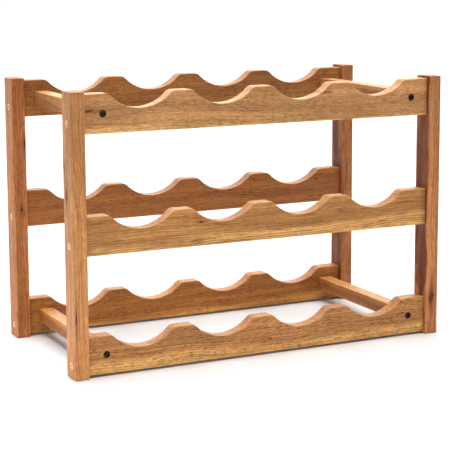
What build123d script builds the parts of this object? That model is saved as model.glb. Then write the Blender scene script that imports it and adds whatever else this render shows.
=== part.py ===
from build123d import *
from dataclasses import dataclass
import os

# A wooden wine rack: four posts, three tiers of scalloped rails in front and rear pairs, and
# crossbars that tie the front and rear together. Each bottle lies across one front scallop and
# the rear scallop behind it.
#
# Frame: +X to the right, +Y to the rear, +Z up. The origin is on the floor, under the middle.
# All lengths are in millimetres.

# Overall size
RACK_WIDTH = 425.0
RACK_DEPTH = 210.0
RACK_HEIGHT = 286.0
EDGE_EASE = 0.8            # radius sanded onto each exposed edge

# Where the pieces are: names, and their side of the middle
TIERS = ("bottom", "middle", "top")
ROWS = {"front": -1, "rear": 1}
SIDES = {"left": -1, "right": 1}
CROSSBAR_TIERS = ("bottom", "top")

# Posts
POST_WIDTH = 15.0          # along X
POST_DEPTH = 24.0          # along Y

# Rails
RAIL_THICKNESS = 15.0
RAIL_HEIGHT = 39.5
RAIL_INSET = 2.5           # floor to the lowest rail, and the highest rail to the post tops
CRADLE_COUNT = 4
CRADLE_PITCH = 90.5
CRADLE_SHIFT = -1.5        # the row of scallops is cut slightly left of the rail's middle
CRADLE_RADIUS = 45.0
CRADLE_DEPTH = 15.8
CRADLE_LIP_RADIUS = 8.0    # rounding where a scallop meets the rail's top

# Crossbars
CROSSBAR_SIZE = 15.0       # square section
CROSSBAR_FROM_POST = 20.0  # from the post's inner face to the crossbar's centre line

# Hidden dowels, one in the upper part of each rail end
DOWEL_DIAMETER = 6.0
DOWEL_IN_POST = 10.0
DOWEL_IN_RAIL = 14.0
DOWEL_END_GAP = 0.5        # room for glue at each end of the bore
DOWEL_CHAMFER = 0.8
DOWEL_FLUTES = 10
DOWEL_FLUTE_RADIUS = 0.35
DOWEL_ABOVE_RAIL = 29.0    # from the rail's lower edge to the dowel's axis


# Countersunk wood screws with a cross recess
@dataclass(frozen=True)
class Screw:
    head: float            # diameter of the head
    shank: float           # diameter of the thread
    length: float
    sink: float            # from the wood's face down to the head's face
    mouth: float           # diameter of the straight hole above the head
    through: float         # thickness of the piece that the screw passes through


POST_SCREW = Screw(head=7.6, shank=4.0, length=40.0, sink=0.3, mouth=8.0, through=POST_WIDTH)
CROSSBAR_SCREW = Screw(head=7.0, shank=4.0, length=35.0, sink=4.0, mouth=7.6, through=RAIL_THICKNESS)
POST_SCREW_ABOVE_RAIL = 10.5   # from the rail's lower edge to the screw's axis
SHANK_CLEARANCE = 0.2          # radial, in the piece that the screw passes through
HEAD_RIM = 0.3                 # straight edge of the head above its cone
RECESS_WIDTH = 4.2
RECESS_SLOT = 0.9
RECESS_DEPTH = 2.0
RECESS_TIP_RADIUS = 0.5
RECESS_TURN = 37.0             # degrees from one screw's recess to the next one's

# Places worked out from the sizes above
RAIL_LENGTH = RACK_WIDTH - 2 * POST_WIDTH
POST_X = (RACK_WIDTH - POST_WIDTH) / 2
ROW_Y = (RACK_DEPTH - POST_DEPTH) / 2
TIER_PITCH = (RACK_HEIGHT - 2 * RAIL_INSET - RAIL_HEIGHT) / (len(TIERS) - 1)
TIER_Z = {tier: RAIL_INSET + index * TIER_PITCH for index, tier in enumerate(TIERS)}
CROSSBAR_X = RAIL_LENGTH / 2 - CROSSBAR_FROM_POST
CROSSBAR_LENGTH = 2 * ROW_Y - RAIL_THICKNESS
CRADLE_X = [
    CRADLE_SHIFT + (index - (CRADLE_COUNT - 1) / 2) * CRADLE_PITCH for index in range(CRADLE_COUNT)
]


def turned(outline):
    """The solid turned about Z from (radius, z) points that begin and end on the axis."""
    wire = Polyline(*[(radius, 0, z) for radius, z in outline], close=True)
    return revolve(make_face(wire), Axis.Z)


def facing(origin, direction):
    """The place whose local Z points along direction, with its local X upright."""
    return Plane(origin=origin, x_dir=(0, 0, 1), z_dir=direction).location


def screw(size, turn):
    """A screw on local Z, with the wood's face at z = 0 and its recess turned by some degrees."""
    face = -size.sink
    neck = face - HEAD_RIM - (size.head - size.shank) / 2
    tip = face - size.length
    body = turned([
        (0, face),
        (size.head / 2, face),
        (size.head / 2, face - HEAD_RIM),
        (size.shank / 2, neck),
        (size.shank / 2, tip + size.shank),
        (0, tip),
    ])
    cross = Rectangle(RECESS_WIDTH, RECESS_SLOT) + Rectangle(RECESS_SLOT, RECESS_WIDTH)
    bit_taper = turned([
        (0, 0),
        (RECESS_WIDTH / 2, 0),
        (RECESS_TIP_RADIUS, -RECESS_DEPTH),
        (0, -RECESS_DEPTH),
    ])
    recess = extrude(cross, -RECESS_DEPTH) & bit_taper
    return body - Pos(0, 0, face) * Rot(0, 0, turn) * recess


def screw_bore(size):
    """The hole for a screw: its mouth and seat, then clearance, then the pilot in the far piece."""
    above = 1.0
    clearance = size.shank / 2 + SHANK_CLEARANCE
    seat = -size.sink - HEAD_RIM
    return turned([
        (0, above),
        (size.mouth / 2, above),
        (size.mouth / 2, -size.sink),
        (size.head / 2, -size.sink),
        (size.head / 2, seat),
        (clearance, seat - (size.head / 2 - clearance)),
        (clearance, -size.through),
        (size.shank / 2, -size.through),
        (size.shank / 2, -size.sink - size.length),
        (0, -size.sink - size.length),
    ])


def dowel():
    """A fluted dowel on local Z, with the joint between post and rail at z = 0."""
    low_end = -DOWEL_IN_RAIL
    length = DOWEL_IN_POST + DOWEL_IN_RAIL
    centred = (Align.CENTER, Align.CENTER, Align.MIN)
    peg = Cylinder(DOWEL_DIAMETER / 2, length, align=centred)
    peg = chamfer(peg.edges().filter_by(GeomType.CIRCLE), DOWEL_CHAMFER)
    flute = Cylinder(DOWEL_FLUTE_RADIUS, length, align=centred)
    for place in PolarLocations(DOWEL_DIAMETER / 2, DOWEL_FLUTES):
        peg -= place * flute
    return Pos(0, 0, low_end) * peg


def dowel_bore():
    """The blind holes for a dowel in a post and in a rail, as one tool."""
    length = DOWEL_IN_POST + DOWEL_IN_RAIL + 2 * DOWEL_END_GAP
    middle = (DOWEL_IN_POST - DOWEL_IN_RAIL) / 2
    return Pos(0, 0, middle) * Cylinder(DOWEL_DIAMETER / 2, length)


def post_screw_place(tier, row, side):
    height = TIER_Z[tier] + POST_SCREW_ABOVE_RAIL
    return facing((SIDES[side] * RACK_WIDTH / 2, ROWS[row] * ROW_Y, height), (SIDES[side], 0, 0))


def dowel_place(tier, row, side):
    height = TIER_Z[tier] + DOWEL_ABOVE_RAIL
    return facing((SIDES[side] * RAIL_LENGTH / 2, ROWS[row] * ROW_Y, height), (SIDES[side], 0, 0))


def crossbar_screw_place(tier, row, side):
    height = TIER_Z[tier] + RAIL_HEIGHT / 2
    outer_face = ROWS[row] * (ROW_Y + RAIL_THICKNESS / 2)
    return facing((SIDES[side] * CROSSBAR_X, outer_face, height), (0, ROWS[row], 0))


def rail_end_bores(tier, row, side):
    """What is bored through a post into a rail end: the post screw's hole and the dowel's."""
    return [
        post_screw_place(tier, row, side) * screw_bore(POST_SCREW),
        dowel_place(tier, row, side) * dowel_bore(),
    ]


def post(row, side):
    """An upright, bored for each rail that it holds."""
    stick = Box(POST_WIDTH, POST_DEPTH, RACK_HEIGHT, align=(Align.CENTER, Align.CENTER, Align.MIN))
    stick = Pos(SIDES[side] * POST_X, ROWS[row] * ROW_Y, 0) * fillet(stick.edges(), EDGE_EASE)
    for tier in TIERS:
        for bore in rail_end_bores(tier, row, side):
            stick -= bore
    return stick


def scalloped_board():
    """A rail before boring, centred on the origin."""
    top = RAIL_HEIGHT / 2
    outline = Rectangle(RAIL_LENGTH, RAIL_HEIGHT)
    for x in CRADLE_X:
        outline -= Pos(x, top - CRADLE_DEPTH + CRADLE_RADIUS) * Circle(CRADLE_RADIUS)
    lips = [
        corner for corner in outline.vertices()
        if corner.Y > top - 0.01 and abs(corner.X) < RAIL_LENGTH / 2 - 0.01
    ]
    outline = fillet(lips, CRADLE_LIP_RADIUS)
    board = extrude(Plane.XZ * outline, RAIL_THICKNESS / 2, both=True)
    broad_faces = board.faces().filter_by(Axis.Y)
    end_edges = board.faces().filter_by(Axis.X).edges()
    exposed = [edge for edge in broad_faces.edges() if edge not in end_edges]
    return fillet(exposed, EDGE_EASE)


def rail(board, tier, row):
    """A rail in its place, bored at both ends, and for the crossbars' screws where it has any."""
    piece = Pos(0, ROWS[row] * ROW_Y, TIER_Z[tier] + RAIL_HEIGHT / 2) * board
    for side in SIDES:
        for bore in rail_end_bores(tier, row, side):
            piece -= bore
        if tier in CROSSBAR_TIERS:
            piece -= crossbar_screw_place(tier, row, side) * screw_bore(CROSSBAR_SCREW)
    return piece


def crossbar(tier, side):
    """A square bar from the front rail to the rear rail, bored in both ends."""
    bar = Box(CROSSBAR_SIZE, CROSSBAR_LENGTH, CROSSBAR_SIZE)
    bar = fillet(bar.edges().filter_by(Axis.Y), EDGE_EASE)
    bar = Pos(SIDES[side] * CROSSBAR_X, 0, TIER_Z[tier] + RAIL_HEIGHT / 2) * bar
    for row in ROWS:
        bar -= crossbar_screw_place(tier, row, side) * screw_bore(CROSSBAR_SCREW)
    return bar


def build_rack():
    """Each piece of the rack by name, in its place."""
    pieces = {}
    turn = 0.0
    for row in ROWS:
        for side in SIDES:
            pieces[f"post_{row}_{side}"] = post(row, side)
    board = scalloped_board()
    for tier in TIERS:
        for row in ROWS:
            pieces[f"rail_{tier}_{row}"] = rail(board, tier, row)
            for side in SIDES:
                turn += RECESS_TURN
                place = post_screw_place(tier, row, side)
                pieces[f"post_screw_{tier}_{row}_{side}"] = place * screw(POST_SCREW, turn)
                pieces[f"dowel_{tier}_{row}_{side}"] = dowel_place(tier, row, side) * dowel()
    for tier in CROSSBAR_TIERS:
        for side in SIDES:
            pieces[f"crossbar_{tier}_{side}"] = crossbar(tier, side)
            for row in ROWS:
                turn += RECESS_TURN
                place = crossbar_screw_place(tier, row, side)
                pieces[f"crossbar_screw_{tier}_{row}_{side}"] = place * screw(CROSSBAR_SCREW, turn)
    return pieces


os.makedirs("parts", exist_ok=True)
for name, piece in build_rack().items():
    export_step(piece, f"parts/{name}.step")
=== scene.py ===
import math
from dataclasses import dataclass

import bpy
from mathutils import Matrix, Vector


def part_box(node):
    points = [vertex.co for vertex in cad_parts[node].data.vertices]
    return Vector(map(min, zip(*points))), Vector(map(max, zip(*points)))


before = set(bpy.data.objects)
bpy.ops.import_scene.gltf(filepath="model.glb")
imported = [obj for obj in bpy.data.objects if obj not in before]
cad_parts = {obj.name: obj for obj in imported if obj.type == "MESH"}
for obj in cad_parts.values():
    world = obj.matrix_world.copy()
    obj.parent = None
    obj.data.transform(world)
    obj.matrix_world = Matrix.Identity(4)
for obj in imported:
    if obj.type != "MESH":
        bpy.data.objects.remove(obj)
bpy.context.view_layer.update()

# Looks for a wooden wine rack. Every piece is a CAD node that keeps its shape: this script gives
# each board its own cut of wood, and the screws their metal. Lengths in the shaders are in
# millimetres, so that grain is described at the size it has on the wood. All else is in metres.

MM = 1000.0
USUAL_NOISE = (0.3, 0.7)    # most of what a noise gives lies between these


# ---- Shader building blocks ----

def srgb(red, green, blue):
    """A colour given as display values from 0 to 255, as the linear colour that Blender wants."""
    def linear(value):
        share = value / 255
        return share / 12.92 if share <= 0.04045 else ((share + 0.055) / 1.055) ** 2.4
    return (linear(red), linear(green), linear(blue), 1.0)


class Shader:
    """A material's node tree. Most methods add nodes and return the socket with their result."""

    def __init__(self, name):
        self.material = bpy.data.materials.new(name)
        self.material.use_nodes = True
        self.tree = self.material.node_tree
        self.tree.nodes.clear()

    def node(self, kind, **settings):
        made = self.tree.nodes.new(kind)
        for key, value in settings.items():
            setattr(made, key, value)
        return made

    def feed(self, socket, value):
        """Links a socket to another one, or sets a constant on it."""
        if isinstance(value, bpy.types.NodeSocket):
            self.tree.links.new(value, socket)
        elif value is not None:
            socket.default_value = value

    def math(self, operation, first, second=None):
        made = self.node("ShaderNodeMath", operation=operation)
        self.feed(made.inputs[0], first)
        self.feed(made.inputs[1], second)
        return made.outputs[0]

    def add(self, first, second):
        return self.math("ADD", first, second)

    def sub(self, first, second):
        return self.math("SUBTRACT", first, second)

    def mul(self, first, second):
        return self.math("MULTIPLY", first, second)

    def size_of(self, value):
        return self.math("ABSOLUTE", value)

    def vector(self, operation, first, second=None):
        made = self.node("ShaderNodeVectorMath", operation=operation)
        self.feed(made.inputs[0], first)
        self.feed(made.inputs[1], second)
        return made.outputs["Value" if operation in ("LENGTH", "DOT_PRODUCT") else "Vector"]

    def split(self, vector):
        made = self.node("ShaderNodeSeparateXYZ")
        self.feed(made.inputs[0], vector)
        return made.outputs[0], made.outputs[1], made.outputs[2]

    def join(self, x, y, z):
        made = self.node("ShaderNodeCombineXYZ")
        for socket, value in zip(made.inputs, (x, y, z)):
            self.feed(socket, value)
        return made.outputs[0]

    def noise(self, place, size, detail=2.0, output="Fac"):
        """Noise with blobs of about size: a length, or one for each axis."""
        made = self.node("ShaderNodeTexNoise")
        sizes = (size,) * 3 if isinstance(size, (int, float)) else size
        self.feed(made.inputs["Vector"], self.vector("DIVIDE", place, sizes))
        made.inputs["Scale"].default_value = 1.0
        made.inputs["Detail"].default_value = detail
        return made.outputs[output]

    def sway(self, place, size, reach):
        """A vector that swings by about reach to each side, one value for each axis."""
        swing = self.vector("SUBTRACT", self.noise(place, size, output="Color"), (0.5, 0.5, 0.5))
        return self.vector("MULTIPLY", swing, tuple(2 * side for side in reach))

    def ramp(self, value, start, end, low=0.0, high=1.0):
        """Goes smoothly from low to high as value goes from start to end."""
        made = self.node("ShaderNodeMapRange", interpolation_type="SMOOTHSTEP")
        for socket, given in zip(made.inputs, (value, start, end, low, high)):
            self.feed(socket, given)
        return made.outputs[0]

    def vary(self, noise, low=0.0, high=1.0):
        """Spreads what a noise usually gives over the range from low to high."""
        return self.ramp(noise, *USUAL_NOISE, low, high)

    def mix(self, share, first, second, blend="MIX"):
        """A colour that goes from first to second as share goes from 0 to 1."""
        made = self.node("ShaderNodeMix", data_type="RGBA", blend_type=blend)
        colours = [socket for socket in made.inputs if socket.type == "RGBA"]
        self.feed(made.inputs["Factor"], share)
        self.feed(colours[0], first)
        self.feed(colours[1], second)
        return [socket for socket in made.outputs if socket.type == "RGBA"][0]

    def darken(self, colour, shade):
        """The colour times a shade that is the same for red, green and blue."""
        return self.mix(1.0, colour, self.join(shade, shade, shade), blend="MULTIPLY")

    def object_place(self):
        """Where a point is in the row's frame, in mm."""
        scale = self.node("ShaderNodeVectorMath", operation="SCALE")
        self.feed(scale.inputs[0], self.node("ShaderNodeTexCoord").outputs["Object"])
        scale.inputs["Scale"].default_value = MM
        return scale.outputs["Vector"]

    def finish(self, colour, roughness, height=None, bump_mm=0.0, **constants):
        """Ends the tree in a Principled shader, and returns the material.

        Where height is given, it becomes a bump. Constants are set on the shader's own sockets.
        """
        shader = self.node("ShaderNodeBsdfPrincipled")
        self.feed(shader.inputs["Base Color"], colour)
        self.feed(shader.inputs["Roughness"], roughness)
        for name, value in constants.items():
            shader.inputs[name].default_value = value
        if height is not None:
            bump = self.node("ShaderNodeBump")
            bump.inputs["Strength"].default_value = 1.0
            bump.inputs["Distance"].default_value = bump_mm / MM
            self.feed(bump.inputs["Height"], height)
            self.feed(shader.inputs["Normal"], bump.outputs[0])
        output = self.node("ShaderNodeOutputMaterial")
        self.tree.links.new(shader.outputs[0], output.inputs[0])
        return self.material


# ---- Wood: what describes a board ----

@dataclass
class Timber:
    """A kind of wood. Colours are display values."""
    sap: tuple              # young, pale wood
    heart: tuple            # old wood, nearer the pith
    blush: tuple            # the hue that both drift to in patches
    late: tuple             # the dark line that ends each year's ring
    pore: tuple             # open pores, dark with oil
    ring: float             # usual width of a year's ring
    pore_length: float
    lines: float            # how far the year lines stand out, from 0 to 1
    pores: float            # how far the pores do


@dataclass
class Knot:
    """A dead branch that runs straight through the board, seen as an oval on two of its faces."""
    along: float            # from the board's centre, along the grain
    across: float           # from the board's centre, across the grain
    length: float           # half its length on the face
    width: float            # half its width
    through: int            # 0 if it runs along the board's first cross-grain axis, 1 if the second
    turn: float = 0.0       # degrees from the grain's direction
    depth: float = 1.0      # how dark it is, from 0 to 1


@dataclass
class Cut:
    """How a board was cut from its log. Cross-grain axes are the two row axes that are left."""
    timber: Timber
    pith: tuple             # the log's centre, across the grain from the board's centre
    heart: float            # how far from the pith the heartwood goes
    edge: float = 8.0               # how wide the change from heart to sap is
    slant: tuple = (0.0, 0.0)       # how far the grain drifts sideways in each mm along it
    # On the rear boards the tint also darkens the wood, as painted shade
    tint: tuple = (1.0, 1.0, 1.0)   # the board's own colour against that of its kind
    figure: float = 1.0             # how far its lines and pores stand out against its kind's
    knots: tuple = ()


POST_TIMBER = Timber(sap=(206, 146, 88), heart=(178, 106, 56), blush=(196, 122, 74),
                     late=(130, 64, 28), pore=(80, 36, 18),
                     ring=2.7, pore_length=11.0, lines=0.62, pores=0.6)
# Painted shade: its heartwood is very dark, and the right posts' cuts set it on their inner faces, for
# the shade inside the rack
INNER_SHADE_TIMBER = Timber(sap=(206, 138, 82), heart=(112, 56, 24), blush=(196, 120, 74),
                         late=(116, 56, 24), pore=(72, 32, 16),
                         ring=2.7, pore_length=11.0, lines=0.6, pores=0.6)
RAIL_TIMBER = Timber(sap=(236, 184, 112), heart=(196, 140, 84), blush=(196, 134, 84),
                     late=(126, 70, 34), pore=(72, 36, 18),
                     ring=2.4, pore_length=6.0, lines=0.5, pores=0.75)
STRAIGHT_TIMBER = Timber(sap=(232, 182, 112), heart=(206, 150, 88), blush=(190, 130, 76),
                         late=(138, 82, 40), pore=(92, 52, 28),
                         ring=2.1, pore_length=24.0, lines=0.8, pores=0.5)
BAR_TIMBER = Timber(sap=(200, 142, 74), heart=(170, 106, 66), blush=(188, 124, 62),
                    late=(136, 80, 42), pore=(88, 50, 28),
                    ring=2.6, pore_length=9.0, lines=0.5, pores=0.35)


# ---- Wood: the shader ----
#
# A noise's size is in mm: along the grain, and across it both ways. Where a feature has two
# numbers, it comes in between them, and two more say what it goes from and to.

# How far apart boards of successive seeds read their noise
OWN_STEP = (137.0, 71.0, 53.0)
GRAIN_STEP = (91.0, 17.0, 29.0)
RING_STEP = 11.0
YEAR_STEP = 3.7

# Bands, streaks and fibres: noises that more than one feature reads
BAND_SIZE = (200, 9, 9)
BAND_SHADES = (0.78, 1.2)           # the darkest and the lightest that they make the wood
STREAK_SIZE = (60, 1.7, 1.7)
STREAKS_SHOW = (0.5, 0.72)
FIBRE_SIZE = (16, 0.22, 0.22)
FIBRE_SHADES = (0.87, 1.1)
FINE_DETAIL = 3.0

# Bends of the grain: the size of the noise, and how far it swings across the grain
GRAIN_BENDS = (((150, 60, 60), 7), ((30, 14, 14), 1.2), ((9, 5, 5), 0.15))

# Year rings
RING_CROWDING = 2.2                 # by how many years their count swings
RING_CROWDING_SIZE = 9.0            # mm from the pith
YEAR_TONE_SIZE = 1.7                # years
YEAR_TONE = (0.3, 0.65, 0.3, 1.0)   # some years' lines are fainter than others'
LATE_WOOD = (0.25, 0.88)            # the part of a year over which its wood goes dark
LATE_WOOD_END = (1.0, 0.93)         # and over which it ends, back from the next year's first wood

# Open pores
VESSEL_WIDTH = 0.75
VESSELS_OPEN = (0.54, 0.64)
PORE_WIDTH = 0.3
PORE_SHORTER = 0.5                  # a pore's length against a vessel's
PORES_OPEN = (0.56, 0.66)
PORES_IN_YEAR = (0.95, 0.15, 0.4, 1.0)  # fewest in a year's last wood, and most in its first
PORES_FAINTER = 0.8                 # how dark they are against vessels

# Knots, in multiples of their own length and width
KNOT_EDGE = (1.15, 0.7)
KNOT_HALO = (4.0, 4.0)              # how far the grain bends round it
KNOT_TAILS = (6.0, 1.6)             # how far its dark tails run
KNOT_STEP = 31.0                    # mm between where one knot and the next read their noise
KNOT_RAGGED_SIZE = 2.0              # mm
KNOT_RAGGED = (0.2, 0.8, 0.75, 1.3) # how far its outline strays from an oval
KNOT_RINGS = 14.0                   # radians of its own rings in half its size
KNOT_RING_EDGES = (-0.6, 0.6)
TAIL_STREAKS = (0.35, 0.55, 0.4, 1.0)   # tails are darker along the wood's streaks
HALO_RED = srgb(150, 74, 40)
TAIL_BROWN = srgb(100, 46, 24)
KNOT_DARK = (srgb(64, 30, 18), srgb(92, 47, 28))

# Edges, ends and screw holes: how far from the board's faces each one fades in
EDGE_RUB_AND_HIGHLIGHT = (2.2, 0.4)
NEAR_END = (3.5, 0.2)
END_FACE = (0.85, 0.98)             # the normal's part along the grain
BORE_RADIUS = 3.8                   # of the holes that the crossbars' screws sit in
BORE_RIM = 0.3
BORE_MOUTH = (0.2, 0.8)

# How far each takes the wood's colour to its own, from 0 to 1
STREAK_SHARE = 0.55
RUBBED_HIGHLIGHT_SHARE = 0.4
END_SHARE = 0.15
# painted shade near each end, where a board meets the next part
NEAR_END_SHADE_SHARE = 0.2
# painted shade on the walls of the crossbars' screw holes
BORE_SHADE_SHARE = 0.85
HALO_SHARE = 0.35
TAIL_SHARE = 0.75

# The surface: its roughness and what adds to it, its relief in parts of the bump, and its sheen
WOOD_ROUGHNESS = (0.40, 0.50)
PORES_ROUGHER = 0.18
END_ROUGHER = 0.12
RUBBED_SMOOTHER = 0.08
WOOD_BUMP = 0.12                    # mm
FIBRE_RELIEF = 0.3
YEAR_LINE_RELIEF = 0.2
WOOD_SPECULAR = 0.2                 # oiled wood, with less sheen than varnish


@dataclass
class Pattern:
    """Noise that runs along the grain, and what a shader makes of it."""
    size: tuple
    start: float            # the noise at which it starts to go from low to high
    end: float
    low: float = 0.0
    high: float = 1.0


BLUSH = Pattern((80, 8, 8), 0.4, 0.65, high=0.5)
YEAR_LINE_BREAKS = Pattern((35, 3, 3), 0.3, 0.55, low=0.45)
PORE_CROWDS = Pattern((50, 7, 7), 0.35, 0.6, low=0.35)
FLECKS = Pattern((7, 0.6, 0.6), *USUAL_NOISE, low=0.86, high=1.14)
CROSS_RIPPLE = Pattern((7, 25, 25), *USUAL_NOISE, low=0.96, high=1.04)
UNEVEN_RUB_AND_HIGHLIGHT = Pattern((14, 4, 4), 0.3, 0.6)


@dataclass
class KnotField:
    """What a knot does at a point. The last three go from 0 to 1."""
    near: bpy.types.NodeSocket      # the way from the knot's axis to the point
    oval: bpy.types.NodeSocket      # how far that is, with 1 at the knot's edge
    core: bpy.types.NodeSocket      # how much the point is in the knot
    halo: bpy.types.NodeSocket      # how much the grain bends round it
    tails: bpy.types.NodeSocket     # how much the point is in its long dark tails


class Board(Shader):
    """One board's wood. Its places are along the grain, then along the two row axes across it."""

    def __init__(self, name, box, along, cut, seed):
        super().__init__(name)
        centre = (box[0] + box[1]) / 2 * MM
        half = (box[1] - box[0]) / 2 * MM
        across = [axis for axis in range(3) if axis != along]
        place = self.split(self.vector("SUBTRACT", self.object_place(), tuple(centre)))
        self.cut, self.seed, self.along_axis = cut, seed, along
        self.along, self.first, self.second = (place[axis] for axis in (along, *across))
        self.board = self.join(self.along, self.first, self.second)
        self.own = self.shifted(self.board, OWN_STEP)
        self.knots = [self.knot_field(knot, number) for number, knot in enumerate(cut.knots)]
        self.bent = self.bent_place()
        self.grain = self.shifted(self.bent, GRAIN_STEP)
        self.from_end = self.sub(half[along], self.size_of(self.along))
        self.from_sides = [self.sub(half[axis], self.size_of(place[axis])) for axis in across]

    def shifted(self, place, step):
        """The place to read noise at, so that no two boards are alike."""
        return self.vector("ADD", place, tuple(self.seed * side for side in step))

    def pattern(self, place, kind):
        """A Pattern's value at a place."""
        return self.ramp(self.noise(place, kind.size), kind.start, kind.end, kind.low, kind.high)

    def knot_field(self, knot, number):
        flat = (1, 0, 1) if knot.through == 0 else (1, 1, 0)
        centre = (knot.along, 0, knot.across) if knot.through == 0 else (knot.along, knot.across, 0)
        near = self.vector("MULTIPLY", self.vector("SUBTRACT", self.board, centre), flat)
        along, first, second = self.split(near)
        across = self.add(first, second)
        cos, sin = math.cos(math.radians(knot.turn)), math.sin(math.radians(knot.turn))
        turned_along = self.add(self.mul(along, cos), self.mul(across, sin))
        turned_across = self.sub(self.mul(across, cos), self.mul(along, sin))

        def reach(place, length, width, depth):
            return self.vector("LENGTH", self.vector("DIVIDE", place, (length, width, depth)))

        def reach_times(longer, wider):
            return reach(near, knot.length * longer, knot.width * wider, knot.width * wider)

        on_face = self.join(turned_along, turned_across, 0.0)
        ragged = self.noise(self.vector("ADD", near, (number * KNOT_STEP, 0, 0)), KNOT_RAGGED_SIZE)
        oval = self.mul(reach(on_face, knot.length, knot.width, 1.0), self.ramp(ragged, *KNOT_RAGGED))
        core = self.ramp(oval, *KNOT_EDGE)
        halo = self.ramp(reach_times(*KNOT_HALO), 1.0, 0.0)
        tails = self.ramp(reach_times(*KNOT_TAILS), 1.0, 0.1)
        return KnotField(near, oval, self.mul(core, knot.depth), halo, self.mul(tails, knot.depth))

    def bent_place(self):
        """The board's place in a log whose grain is straight."""
        drift = self.join(0.0, self.along, self.along)
        bent = self.vector("ADD", self.board, self.vector("MULTIPLY", drift, (0, *self.cut.slant)))
        for size, reach in GRAIN_BENDS:
            bent = self.vector("ADD", bent, self.sway(self.own, size, (0, reach, reach)))
        for knot in self.knots:
            spread = self.vector("MULTIPLY", knot.near, self.join(knot.halo, knot.halo, knot.halo))
            bent = self.vector("SUBTRACT", bent, self.vector("MULTIPLY", spread, (0, 1, 1)))
        return bent

    def from_pith(self):
        _, first, second = self.split(self.bent)
        pith = self.cut.pith
        across = (self.sub(first, pith[0]), self.sub(second, pith[1]))
        return self.vector("LENGTH", self.join(0.0, *across))

    def rings(self, radius):
        """The part of the year that a point grew in, and how dark its year line is there.

        Rings are of uneven width, and each goes slowly darker and then ends sharply.
        """
        crowding = self.join(radius, self.seed * RING_STEP, 0.0)
        crowding = self.mul(self.noise(crowding, RING_CROWDING_SIZE, detail=1.0), RING_CROWDING)
        years = self.add(self.math("DIVIDE", radius, self.cut.timber.ring), crowding)
        season = self.math("FRACT", years)
        year = self.join(self.math("FLOOR", years), self.seed * YEAR_STEP, 0.0)
        year_tone = self.noise(year, YEAR_TONE_SIZE, detail=0.0)
        late = self.mul(self.ramp(season, *LATE_WOOD), self.ramp(season, *LATE_WOOD_END))
        late = self.mul(late, self.ramp(year_tone, *YEAR_TONE))
        return season, self.mul(late, self.pattern(self.grain, YEAR_LINE_BREAKS))

    def open_pores(self, season):
        """Long dark vessels that crowd together in places, and short fine pores in early wood."""
        length = self.cut.timber.pore_length
        vessels = self.noise(self.grain, (length, VESSEL_WIDTH, VESSEL_WIDTH))
        vessels = self.mul(self.ramp(vessels, *VESSELS_OPEN), self.pattern(self.grain, PORE_CROWDS))
        pores = self.noise(self.grain, (length * PORE_SHORTER, PORE_WIDTH, PORE_WIDTH))
        pores = self.mul(self.ramp(pores, *PORES_OPEN), self.ramp(season, *PORES_IN_YEAR))
        return vessels, pores

    def inside_bores(self, bore):
        """How much a point is in a screw hole, that far from the board's middle to each side."""
        off_axis = self.join(self.sub(self.size_of(self.along), bore), self.second, 0.0)
        inside = self.ramp(self.vector("LENGTH", off_axis), BORE_RADIUS + BORE_RIM, BORE_RADIUS)
        return self.mul(inside, self.ramp(self.from_sides[0], *BORE_MOUTH))

    def end_grain(self):
        """How much a point is on a face that cuts straight across the grain."""
        normal = self.node("ShaderNodeTexCoord").outputs["Normal"]
        grain_axis = tuple(1.0 if axis == self.along_axis else 0.0 for axis in range(3))
        facing = self.size_of(self.vector("DOT_PRODUCT", normal, grain_axis))
        return self.ramp(facing, *END_FACE)

    def add_knots(self, colour, streaks):
        for knot in self.knots:
            tails = self.mul(knot.tails, self.ramp(streaks, *TAIL_STREAKS))
            colour = self.mix(self.mul(knot.halo, HALO_SHARE), colour, HALO_RED)
            colour = self.mix(self.mul(tails, TAIL_SHARE), colour, TAIL_BROWN)
            rings = self.math("SINE", self.mul(knot.oval, KNOT_RINGS))
            rings = self.ramp(rings, *KNOT_RING_EDGES)
            colour = self.mix(knot.core, colour, self.mix(rings, *KNOT_DARK))
        return colour


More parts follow.
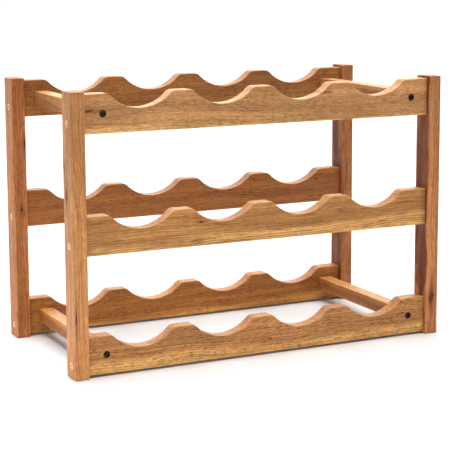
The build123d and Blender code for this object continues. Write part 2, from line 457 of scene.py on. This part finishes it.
def wood(name, box, along, cut, seed, bore=None):
    """A board's material, with rings about a pith, pores along the grain, and knots.

    Where bore is given, a screw hole lies that far from the board's middle to each side.
    """
    s = Board(name, box, along, cut, seed)
    sap, heart, blush, late_wood, pore = (
        srgb(*hue) for hue in (cut.timber.sap, cut.timber.heart, cut.timber.blush,
                               cut.timber.late, cut.timber.pore))
    line_share, pore_share = cut.timber.lines * cut.figure, cut.timber.pores * cut.figure
    radius = s.from_pith()
    season, late = s.rings(radius)
    vessels, pores = s.open_pores(season)
    bands = s.noise(s.grain, BAND_SIZE, FINE_DETAIL)
    streaks = s.noise(s.grain, STREAK_SIZE, FINE_DETAIL)
    fibre = s.noise(s.grain, FIBRE_SIZE, FINE_DETAIL)

    # Heartwood and sapwood in patches and bands, then the lines and pores on them
    sapwood = s.ramp(s.add(radius, s.mul(bands, cut.edge)), cut.heart, cut.heart + cut.edge)
    colour = s.mix(sapwood, heart, sap)
    colour = s.mix(s.pattern(s.grain, BLUSH), colour, blush)
    colour = s.darken(colour, s.vary(bands, *BAND_SHADES))
    shown = s.mul(s.ramp(streaks, *STREAKS_SHOW), STREAK_SHARE * cut.figure)
    colour = s.mix(shown, colour, late_wood)
    colour = s.mix(s.mul(late, line_share), colour, late_wood)
    colour = s.mix(s.mul(vessels, pore_share), colour, pore)
    colour = s.mix(s.mul(pores, pore_share * PORES_FAINTER), colour, pore)
    colour = s.darken(colour, s.pattern(s.grain, FLECKS))
    colour = s.darken(colour, s.vary(fibre, *FIBRE_SHADES))
    colour = s.darken(colour, s.pattern(s.own, CROSS_RIPPLE))

    # Handling has rubbed the long edges paler, and that paler edge is also a painted highlight. End
    # grain has soaked up more oil, and the wood darkens near each end, with oil there and painted
    # shade where it meets the next part
    rubbed_highlight = s.mul(s.ramp(s.from_sides[0], *EDGE_RUB_AND_HIGHLIGHT), s.ramp(s.from_sides[1], *EDGE_RUB_AND_HIGHLIGHT))
    rubbed_highlight = s.mul(rubbed_highlight, s.pattern(s.own, UNEVEN_RUB_AND_HIGHLIGHT))
    # Painted highlight, with wear: the long edges go towards the pale sapwood
    colour = s.mix(s.mul(rubbed_highlight, RUBBED_HIGHLIGHT_SHARE), colour, sap)
    end = s.end_grain()
    colour = s.mix(s.mul(end, END_SHARE), colour, late_wood)
    # Painted shade, with oil gathered there: the wood is darker within a few mm of each end, where it
    # meets the next part
    near_end_shade = s.ramp(s.from_end, *NEAR_END)
    colour = s.mix(s.mul(near_end_shade, NEAR_END_SHADE_SHARE), colour, late_wood)
    # Painted shade: the walls of the crossbars' screw holes go towards the dark colour of the pores,
    # for the shade deep inside them
    if bore:
        colour = s.mix(s.mul(s.inside_bores(bore), BORE_SHADE_SHARE), colour, pore)
    colour = s.mix(1.0, colour, (*cut.tint, 1.0), blend="MULTIPLY")
    colour = s.add_knots(colour, streaks)

    open_wood = s.math("MAXIMUM", vessels, pores)
    roughness = s.add(s.vary(streaks, *WOOD_ROUGHNESS), s.mul(open_wood, PORES_ROUGHER))
    roughness = s.add(roughness, s.mul(end, END_ROUGHER))
    roughness = s.sub(roughness, s.mul(rubbed_highlight, RUBBED_SMOOTHER))
    sunk = s.add(open_wood, s.mul(late, YEAR_LINE_RELIEF))
    height = s.sub(s.mul(fibre, FIBRE_RELIEF), sunk)
    sheen = {"Specular IOR Level": WOOD_SPECULAR}
    return s.finish(colour, roughness, height, WOOD_BUMP, **sheen)


# ---- Wood: the boards ----

GRAIN = {"rail": 0, "crossbar": 1, "post": 2}       # the row axis that each kind's grain runs along

# Posts are cut across X and Y, rails across Y and Z, crossbars across X and Z
CUTS = {
    "post_front_left": Cut(POST_TIMBER, pith=(70, 34), heart=70, slant=(0.035, 0.01),
                           tint=(0.99, 0.99, 1.0), figure=0.6,
                           knots=(Knot(41, 3.2, 7, 2.8, through=0, turn=-6),
                                  Knot(69, 9.5, 5.5, 2.2, through=0, turn=7, depth=0.9),
                                  Knot(-80, -5.5, 6.5, 0.8, through=1))),
    # Painted shade: the pith and heart put the dark heartwood on this post's inner face
    "post_front_right": Cut(INNER_SHADE_TIMBER, pith=(-60, 0), heart=54, edge=2.0, slant=(-0.004, 0.01),
                            tint=(1.0, 1.02, 1.1), figure=0.8,
                            knots=(Knot(-102, 0, 6.5, 3.0, through=1, turn=16),)),
    "post_rear_left": Cut(POST_TIMBER, pith=(48, -40), heart=78, slant=(0.01, -0.02),
                          tint=(1.17, 1.32, 1.42),
                          knots=(Knot(72, 6.5, 4, 1.8, through=1), Knot(0, 1, 2.2, 1.6, through=1))),
    # Painted shade: the dark heartwood lies on this post's inner face, and its tint darkens it like
    # the other rear boards
    "post_rear_right": Cut(INNER_SHADE_TIMBER, pith=(-58, 4), heart=52, edge=2.0, slant=(0.004, 0.01),
                           tint=(0.92, 0.9, 0.84)),
    "rail_top_front": Cut(RAIL_TIMBER, pith=(-12, 78), heart=98, slant=(0.0, 0.012), figure=0.75,
                          tint=(1.16, 1.26, 1.38),
                          knots=(Knot(-193, 3, 6, 1.6, through=0, turn=10, depth=0.6),
                                 Knot(71, 10, 3, 0.8, through=0, turn=38))),
    # Painted shade: its tint darkens this rear rail
    "rail_top_rear": Cut(RAIL_TIMBER, pith=(14, 60), heart=90, slant=(0.0, -0.01),
                         tint=(0.76, 0.68, 0.54), figure=0.8),
    "rail_middle_front": Cut(STRAIGHT_TIMBER, pith=(10, 84), heart=94, edge=14.0, slant=(0.0, -0.006),
                             tint=(0.93, 0.92, 0.86), figure=0.95,
                             knots=(Knot(-73, 5, 2.0, 1.2, through=0),)),
    # Painted shade: its tint darkens this rear rail
    "rail_middle_rear": Cut(RAIL_TIMBER, pith=(-16, 70), heart=98, slant=(0.0, 0.01),
                            tint=(0.68, 0.55, 0.42), figure=0.7),
    "rail_bottom_front": Cut(RAIL_TIMBER, pith=(16, 72), heart=84, slant=(0.0, 0.01),
                             tint=(0.96, 0.94, 0.88), figure=1.1),
    # Painted shade: its tint darkens this rear rail
    "rail_bottom_rear": Cut(RAIL_TIMBER, pith=(-10, 66), heart=80, slant=(0.0, -0.02),
                            tint=(0.9, 0.76, 0.54), figure=0.8),
    "crossbar_top_left": Cut(BAR_TIMBER, pith=(-8, -50), heart=51, edge=5.0, slant=(0.01, 0.0),
                             tint=(1.06, 1.1, 1.2)),
    "crossbar_top_right": Cut(BAR_TIMBER, pith=(10, -52), heart=54, edge=5.0, slant=(0.0, 0.01),
                              tint=(1.06, 1.1, 1.2)),
    "crossbar_bottom_left": Cut(BAR_TIMBER, pith=(-6, -52), heart=54, edge=4.0, slant=(-0.01, 0.0)),
    "crossbar_bottom_right": Cut(BAR_TIMBER, pith=(-12, -48), heart=50, edge=5.0, slant=(0.0, -0.01)),
}


def dress(node, material):
    """Gives a CAD node one material all over."""
    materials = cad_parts[node].data.materials
    materials.clear()
    materials.append(material)


def bore_of(node):
    """How far from a rail's middle its screw holes are, or None if the board has none."""
    screw = node.replace("rail", "crossbar_screw") + "_right"
    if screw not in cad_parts:
        return None
    low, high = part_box(screw)
    return (low[0] + high[0]) / 2 * MM


for seed, (node, cut) in enumerate(CUTS.items(), start=1):
    along = GRAIN[node.split("_")[0]]
    dress(node, wood("wood_" + node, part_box(node), along, cut, seed, bore_of(node)))


# ---- Dowels and screws ----

DOWEL_FLECK_SIZE = (5.0, 0.5, 0.5)
DOWEL_FLECKS = (0.35, 0.7)
DOWEL_PALE = srgb(210, 172, 128)
DOWEL_BROWN = srgb(170, 128, 88)
DOWEL_ROUGHNESS = (0.55, 0.7)
DOWEL_BUMP = 0.05                   # mm


def beech_peg():
    """Turned pegs, pale and close-grained, with short flecks along their length."""
    s = Shader("beech_dowel")
    fleck = s.noise(s.object_place(), DOWEL_FLECK_SIZE, FINE_DETAIL)
    colour = s.mix(s.ramp(fleck, *DOWEL_FLECKS), DOWEL_PALE, DOWEL_BROWN)
    return s.finish(colour, s.vary(fleck, *DOWEL_ROUGHNESS), fleck, DOWEL_BUMP)


TARNISH_SIZE = 2.2                  # mm
TARNISH = (0.42, 0.68)
TARNISH_ROUGHER = 0.18
SCRATCH_SIZE = (0.9, 0.1, 0.12)
SCRATCHES_ROUGHER = 0.1
# Grime and painted shade in the screws' recesses
GRIME_AND_SHADE_DEPTH = (0.2, 0.5)            # mm below the head's face over which grime comes in
GRIME_AND_SHADE_UNEVEN = 0.3                  # mm
GRIME_AND_SHADE_SHARE = 0.9
GRIME_ROUGHER = 0.25
METAL_BUMP = 0.012                  # mm


def plated(name, bright, dull, grime_and_shade, roughness, axis, face):
    """Plated metal, a little tarnished and finely scratched, its recess darkened by grime and by
    painted shade.

    The screws point along the given row axis, and their heads' faces are that far from its origin.
    """
    s = Shader(name)
    place = s.object_place()
    depth = s.sub(face, s.size_of(s.split(place)[axis]))
    tarnish = s.noise(place, TARNISH_SIZE, detail=4.0)
    scratches = s.noise(place, SCRATCH_SIZE, detail=2.0)
    # Painted shade, with grime: the recess below the head's face goes dark
    recess = s.ramp(s.add(depth, s.mul(tarnish, GRIME_AND_SHADE_UNEVEN)), *GRIME_AND_SHADE_DEPTH)
    colour = s.mix(s.ramp(tarnish, *TARNISH), srgb(*bright), srgb(*dull))
    colour = s.mix(s.mul(recess, GRIME_AND_SHADE_SHARE), colour, srgb(*grime_and_shade))
    worn = s.vary(tarnish, roughness, roughness + TARNISH_ROUGHER)
    worn = s.add(worn, s.mul(scratches, SCRATCHES_ROUGHER))
    worn = s.add(worn, s.mul(recess, GRIME_ROUGHER))
    return s.finish(colour, worn, scratches, METAL_BUMP, Metallic=1.0)


def head_face(screw, axis):
    """How far from the origin a screw's head ends, along the axis that it points along."""
    low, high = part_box(screw)
    return max(abs(low[axis]), abs(high[axis])) * MM


BRASS = plated("brass_plate", bright=(250, 222, 172), dull=(196, 152, 98), grime_and_shade=(34, 20, 12),
               roughness=0.30, axis=0, face=head_face("post_screw_top_front_left", 0))
# Black steel, its colour also kept dark as painted shade for the deep hole it sits in
STEEL = plated("black_steel_with_hole_shade", bright=(74, 68, 64), dull=(38, 32, 28), grime_and_shade=(14, 10, 8),
               roughness=0.34, axis=1, face=head_face("crossbar_screw_top_front_left", 1))
FASTENERS = {"post_screw": BRASS, "crossbar_screw": STEEL, "dowel": beech_peg()}
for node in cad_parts:
    for kind, material in FASTENERS.items():
        if node.startswith(kind):
            dress(node, material)


# ---- Floor ----

FLOOR_HALF = 6.0
FLOOR_ROUGHNESS = 0.8
FLOOR_MOTTLE_SIZE = 0.35
FLOOR_DARK = (0.63, 0.646, 0.675, 1)    # cooler than the lights, so that the floor looks white
FLOOR_PALE = (0.65, 0.666, 0.695, 1)


def floor_material():
    s = Shader("studio_floor")
    place = s.node("ShaderNodeTexCoord").outputs["Object"]
    colour = s.mix(s.noise(place, FLOOR_MOTTLE_SIZE), FLOOR_DARK, FLOOR_PALE)
    return s.finish(colour, FLOOR_ROUGHNESS)


mesh = bpy.data.meshes.new("studio_floor")
corners = [(-FLOOR_HALF, -FLOOR_HALF, 0), (FLOOR_HALF, -FLOOR_HALF, 0),
           (FLOOR_HALF, FLOOR_HALF, 0), (-FLOOR_HALF, FLOOR_HALF, 0)]
mesh.from_pydata(corners, [], [(0, 1, 2, 3)])
floor = bpy.data.objects.new("studio_floor", mesh)
floor.data.materials.append(floor_material())
bpy.context.scene.collection.objects.link(floor)


# ---- Lights ----

WARM = (1.0, 0.965, 0.92)


def lamp(name, kind, energy, towards):
    """A warm light that shines from the given direction."""
    data = bpy.data.lights.new(name, kind)
    data.energy = energy
    data.color = WARM
    made = bpy.data.objects.new(name, data)
    made.rotation_mode = "QUATERNION"
    made.rotation_quaternion = Vector(towards).to_track_quat("Z", "Y")
    bpy.context.scene.collection.objects.link(made)
    return made


def soft_sun(name, towards, strength, spread):
    """Even light from a wide part of the sky, spread over some degrees."""
    lamp(name, "SUN", strength, towards).data.angle = math.radians(spread)


def low_softbox(name, place, aim, size, power):
    """A light close to the rack and the floor, which the camera doesn't see."""
    made = lamp(name, "AREA", power, Vector(place) - Vector(aim))
    made.data.shape = "RECTANGLE"
    made.data.size, made.data.size_y = size
    made.location = place
    made.visible_camera = False


soft_sun("top_light", towards=(0.0, 0.0, 1.0), strength=4.7, spread=60)
soft_sun("left_light", towards=(-1.0, -0.1, 3.0), strength=0.4, spread=25)
soft_sun("back_light", towards=(0.15, 1.0, 0.5), strength=1.2, spread=60)
low_softbox("left_glow", place=(-0.37, 0.0, 0.03), aim=(-0.21, 0.0, 0.03), size=(0.4, 0.06), power=0.2)
low_softbox("front_glow", place=(-0.10, -0.27, 0.03), aim=(-0.10, -0.1, 0.03), size=(0.6, 0.06),
            power=0.2)


# ---- The studio's walls, as a world that each kind of ray sees in its own way ----

FILL = 0.1                          # as light on the rack and the floor
BACKDROP = 1.05                     # as the camera sees it
# As gloss sees it, dark on the left and bright elsewhere: the X of a ray's direction where dark
# starts to turn bright and where it ends, and the strengths that it goes from and to
GLOSS = {"From Min": -0.6, "From Max": -0.1, "To Min": 0.25, "To Max": 2.2}

world = bpy.data.worlds.new("studio")
bpy.context.scene.world = world
world.use_nodes = True
tree = world.node_tree
tree.nodes.clear()
rays = tree.nodes.new("ShaderNodeLightPath")


def background(strength):
    shade = tree.nodes.new("ShaderNodeBackground")
    shade.inputs["Color"].default_value = (1.0, 1.0, 1.0, 1.0)
    if isinstance(strength, bpy.types.NodeSocket):
        tree.links.new(strength, shade.inputs["Strength"])
    else:
        shade.inputs["Strength"].default_value = strength
    return shade.outputs[0]


def choose(ray, otherwise, shade):
    either = tree.nodes.new("ShaderNodeMixShader")
    tree.links.new(rays.outputs[ray], either.inputs[0])
    tree.links.new(otherwise, either.inputs[1])
    tree.links.new(shade, either.inputs[2])
    return either.outputs[0]


direction = tree.nodes.new("ShaderNodeSeparateXYZ")
tree.links.new(tree.nodes.new("ShaderNodeTexCoord").outputs["Generated"], direction.inputs[0])
brightness = tree.nodes.new("ShaderNodeMapRange")
for socket, value in GLOSS.items():
    brightness.inputs[socket].default_value = value
tree.links.new(direction.outputs[0], brightness.inputs["Value"])

shade = choose("Is Glossy Ray", background(FILL), background(brightness.outputs[0]))
shade = choose("Is Camera Ray", shade, background(BACKDROP))
tree.links.new(shade, tree.nodes.new("ShaderNodeOutputWorld").inputs[0])

bpy.context.scene.view_settings.view_transform = "Standard"


# ---- Camera, to the front left, a little above the rack and looking slightly down ----

CAMERA_PLACE = (-0.681, -1.422, 0.4126)
CAMERA_TURN = math.radians(26.07)    # from straight ahead, to the right
CAMERA_TILT = math.radians(8.61)     # below the horizon
CAMERA_ROLL = math.radians(0.21)
CAMERA_LENS = 111.4                  # mm, on Blender's 36 mm sensor
CAMERA_SHIFT = -0.12                 # raises the rack in the picture, so that less tilt is needed

camera = bpy.data.objects.new("camera", bpy.data.cameras.new("camera"))
camera.data.lens = CAMERA_LENS
camera.data.shift_y = CAMERA_SHIFT
camera.location = CAMERA_PLACE
level = Matrix.Rotation(-CAMERA_TURN, 3, "Z") @ Matrix.Rotation(math.pi / 2 - CAMERA_TILT, 3, "X")
camera.rotation_euler = (level @ Matrix.Rotation(-CAMERA_ROLL, 3, "Z")).to_euler()
bpy.context.scene.collection.objects.link(camera)
bpy.context.scene.camera = camera
